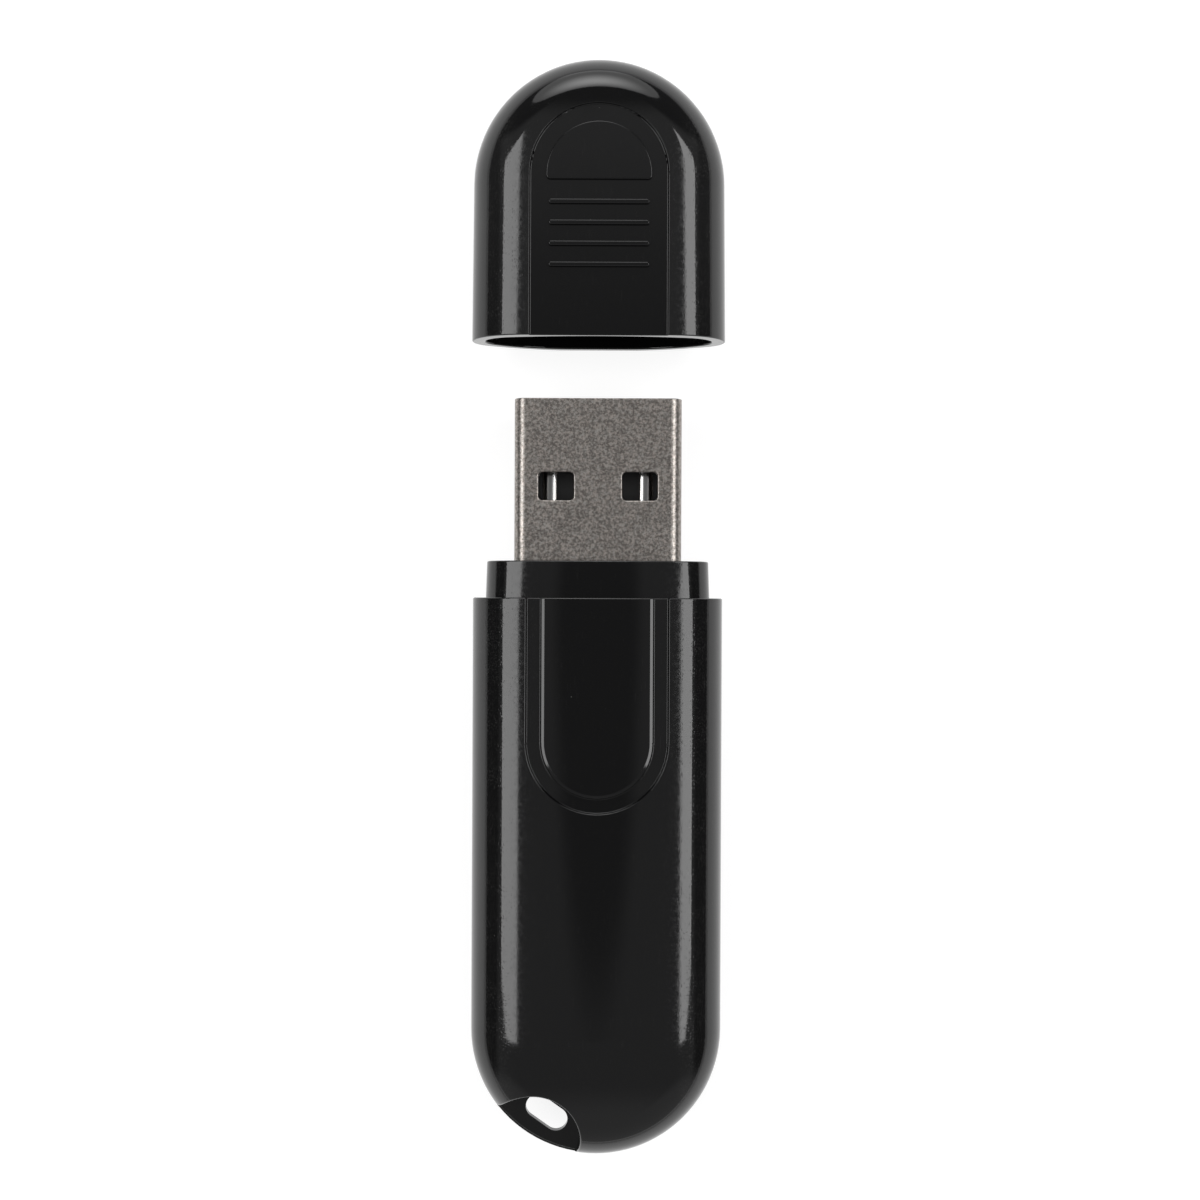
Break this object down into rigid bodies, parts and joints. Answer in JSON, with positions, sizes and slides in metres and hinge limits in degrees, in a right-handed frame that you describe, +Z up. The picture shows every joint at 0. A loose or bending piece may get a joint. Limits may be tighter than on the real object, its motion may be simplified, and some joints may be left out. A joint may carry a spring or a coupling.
{
  "type": "usb flash drive",
  "caption": "Slim black stick drive with a rounded tail, a lanyard slot, a metal type-A plug and a round-ended pull-off cap with a ribbed panel.",
  "frame": {"origin": "on the flat strip of the back shell that the drive lies on, under the middle of the body's length", "axes": "+Y along the drive towards the plug, +Z up through the thickness from the back shell to the front shell, +X across the width"},
  "size_m": [0.0184, 0.0792, 0.0086],
  "materials": {
    "black_gloss_plastic": "polished black ABS with fine handling scratches",
    "plug_steel": "nickel-plated drawn steel, matt and slightly speckled",
    "tongue_plastic": "black glass-filled plastic",
    "contact_metal": "plated contact strip",
    "board_laminate": "green solder mask on glass laminate",
    "chip_epoxy": "moulded black epoxy",
    "tinned_lead": "tin plated",
    "ceramic_body": "fired ceramic",
    "crystal_can": "plated lid",
    "capacitor_ceramic": "tan ceramic",
    "resistor_film": "dark glazed film on alumina",
    "led_resin": "clear-yellow resin on a white base",
    "solder": "bright solder"
  },
  "bodies": {
    "drive_body": {"front_shell": "black_gloss_plastic", "rear_shell": "black_gloss_plastic", "plug_shell": "plug_steel", "plug_tongue": "tongue_plastic", "contact_vbus": "contact_metal", "contact_d_minus": "contact_metal", "contact_d_plus": "contact_metal", "contact_gnd": "contact_metal", "circuit_board": "board_laminate", "controller_chip": "chip_epoxy", "controller_leads": "tinned_lead", "flash_chip": "chip_epoxy", "flash_leads": "tinned_lead", "crystal_base": "ceramic_body", "crystal_cover": "crystal_can", "capacitors": "capacitor_ceramic", "capacitor_terminals": "tinned_lead", "resistors": "resistor_film", "resistor_terminals": "tinned_lead", "status_led": "led_resin", "contact_solder": "solder", "leg_solder": "solder"},
    "cap_body": {"cap": "black_gloss_plastic"}
  },
  "joints": [
    {"name": "cap_slide", "type": "slide", "parent": "drive_body", "child": "cap_body", "axis": [0, 1, 0], "range_m": [-0.0185, 0]}
  ]
}
